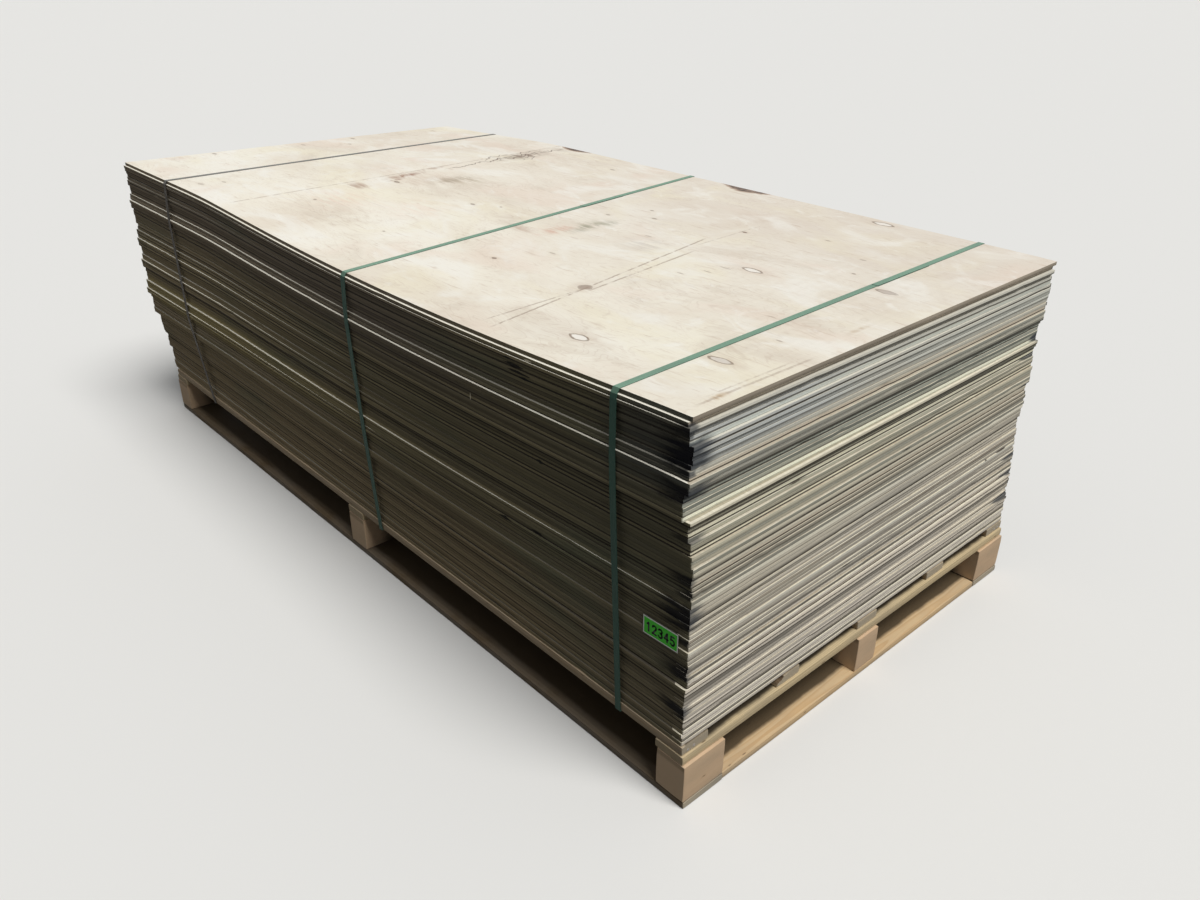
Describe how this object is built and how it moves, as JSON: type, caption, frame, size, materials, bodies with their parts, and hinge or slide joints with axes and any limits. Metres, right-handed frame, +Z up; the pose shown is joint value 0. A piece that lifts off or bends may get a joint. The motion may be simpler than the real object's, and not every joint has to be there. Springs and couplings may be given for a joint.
{
  "type": "strapped stack of plywood sheets on a pallet",
  "caption": "Tall stack of raw birch plywood sheets with uneven edges, on a low wooden block pallet and held by flat green plastic straps.",
  "frame": {"origin": "on the floor under the middle of the pallet, at the underside of the middle base board", "axes": "+X along the sheets, +Y across them, +Z up"},
  "size_m": [2.5281, 1.2967, 0.8791],
  "materials": {
    "plywood": "raw birch veneer, unsanded edges with grey and dark glue lines",
    "pallet_timber": "rough-sawn pine, dry",
    "strap_plastic": "embossed green polyester strapping",
    "label_card": "green stock label with a white edge and plain black digits"
  },
  "bodies": {
    "root": {"base_board_end_left": "pallet_timber", "base_board_end_right": "pallet_timber", "base_board_middle": "pallet_timber", "base_board_side_far": "pallet_timber", "base_board_side_near": "pallet_timber", "block_centre_far": "pallet_timber", "block_centre_middle": "pallet_timber", "block_centre_near": "pallet_timber", "block_left_far": "pallet_timber", "block_left_middle": "pallet_timber", "block_left_near": "pallet_timber", "block_right_far": "pallet_timber", "block_right_middle": "pallet_timber", "block_right_near": "pallet_timber", "deck_board_1": "pallet_timber", "deck_board_2": "pallet_timber", "deck_board_3": "pallet_timber", "deck_board_4": "pallet_timber", "deck_board_5": "pallet_timber", "label": "label_card", "sheets_lift_02": "plywood", "sheets_lift_03": "plywood", "sheets_lift_04": "plywood", "sheets_lift_05": "plywood", "sheets_lift_06": "plywood", "sheets_lift_07": "plywood", "sheets_lift_08": "plywood", "sheets_lift_09": "plywood", "sheets_lift_10": "plywood", "sheets_lift_11": "plywood", "sheets_lift_12": "plywood", "sheets_lift_13": "plywood", "sheets_lift_14": "plywood", "sheets_lift_15": "plywood", "sheets_lift_16": "plywood", "sheets_lift_17": "plywood", "sheets_lift_18": "plywood", "sheets_lift_19": "plywood", "sheets_lift_20": "plywood", "sheets_lift_21": "plywood", "sheets_lift_22": "plywood", "sheets_lift_23": "plywood", "sheets_lift_24": "plywood", "sheets_lift_25": "plywood", "sheets_lift_26": "plywood", "sheets_lift_27": "plywood", "sheets_lift_28": "plywood", "sheets_lift_29": "plywood", "sheets_lift_30": "plywood", "strap_far": "strap_plastic", "strap_middle": "strap_plastic", "strap_near": "strap_plastic", "stringer_centre": "pallet_timber", "stringer_left": "pallet_timber", "stringer_right": "pallet_timber", "top_sheet": "plywood"}
  },
  "joints": []
}
